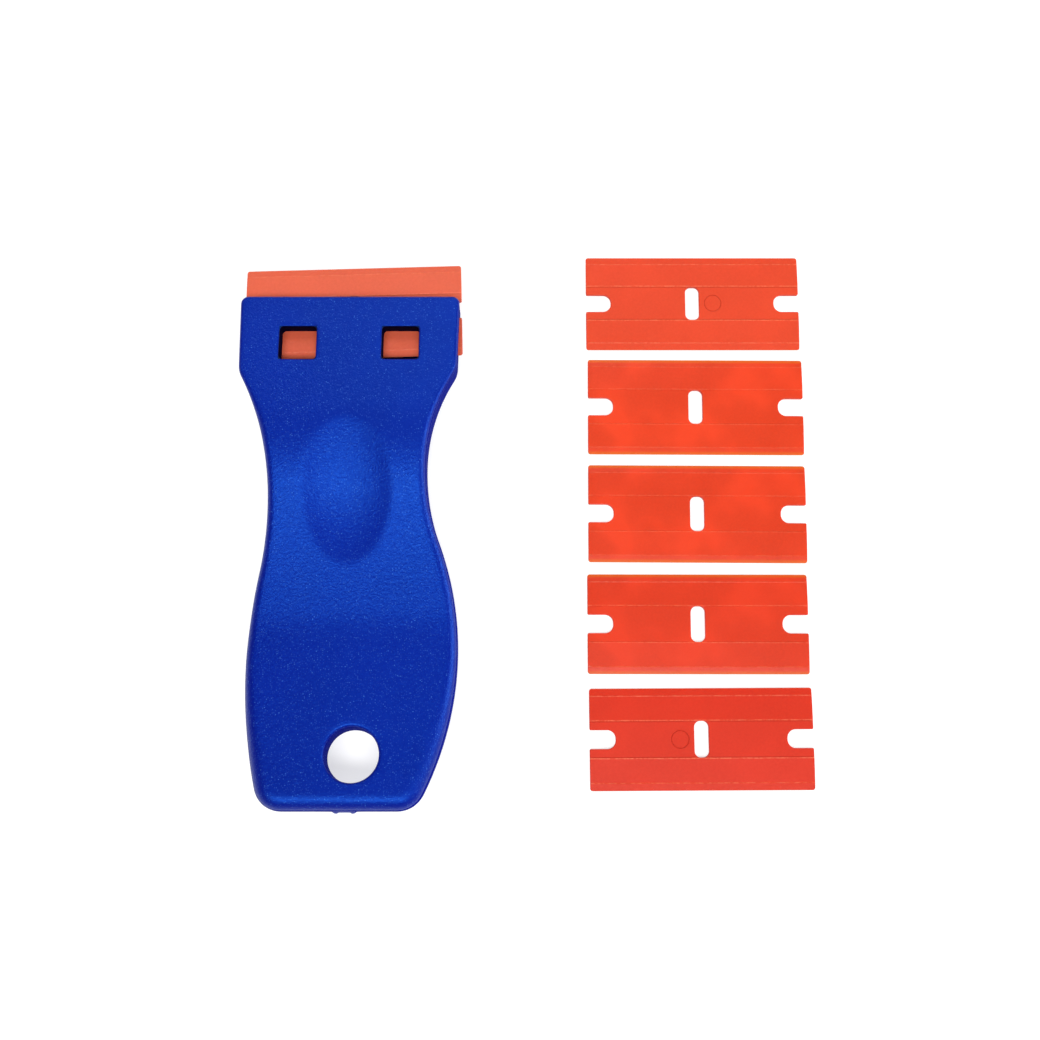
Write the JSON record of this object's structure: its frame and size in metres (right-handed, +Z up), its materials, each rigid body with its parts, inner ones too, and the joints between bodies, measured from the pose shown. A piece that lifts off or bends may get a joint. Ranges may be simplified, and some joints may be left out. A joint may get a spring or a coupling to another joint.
{
  "type": "algae scraper",
  "caption": "Hand scraper: flat waisted plastic handle with a thumb dimple and hanging hole, gripping a slide-in plastic blade with two edges, with loose spare blades beside it.",
  "frame": {"origin": "on the table under the flat of the handle's belly, at the handle's middle", "axes": "+Y towards the blade's working edge, +X to the right seen from above with the blade away from the viewer, +Z up off the table"},
  "size_m": [0.1001, 0.0987, 0.0095],
  "materials": {
    "handle_blue": "satin moulded texture",
    "blade_orange": "satin moulded"
  },
  "bodies": {
    "handle": {"handle": "handle_blue"},
    "fitted_blade": {"fitted_blade": "blade_orange"},
    "spare_blade_1": {"spare_blade_1": "blade_orange"},
    "spare_blade_2": {"spare_blade_2": "blade_orange"},
    "spare_blade_3": {"spare_blade_3": "blade_orange"},
    "spare_blade_4": {"spare_blade_4": "blade_orange"},
    "spare_blade_5": {"spare_blade_5": "blade_orange"}
  },
  "joints": [
    {"name": "blade_slide", "type": "slide", "parent": "handle", "child": "fitted_blade", "axis": [0, 0.9936, -0.1132], "range_m": [0, 0.014]},
    {"name": "spare_lift_1", "type": "slide", "parent": "handle", "child": "spare_blade_1", "axis": [0, 0, 1], "range_m": [0, 0.05]},
    {"name": "spare_lift_2", "type": "slide", "parent": "handle", "child": "spare_blade_2", "axis": [0, 0, 1], "range_m": [0, 0.05]},
    {"name": "spare_lift_3", "type": "slide", "parent": "handle", "child": "spare_blade_3", "axis": [0, 0, 1], "range_m": [0, 0.05]},
    {"name": "spare_lift_4", "type": "slide", "parent": "handle", "child": "spare_blade_4", "axis": [0, 0, 1], "range_m": [0, 0.05]},
    {"name": "spare_lift_5", "type": "slide", "parent": "handle", "child": "spare_blade_5", "axis": [0, 0, 1], "range_m": [0, 0.05]}
  ]
}
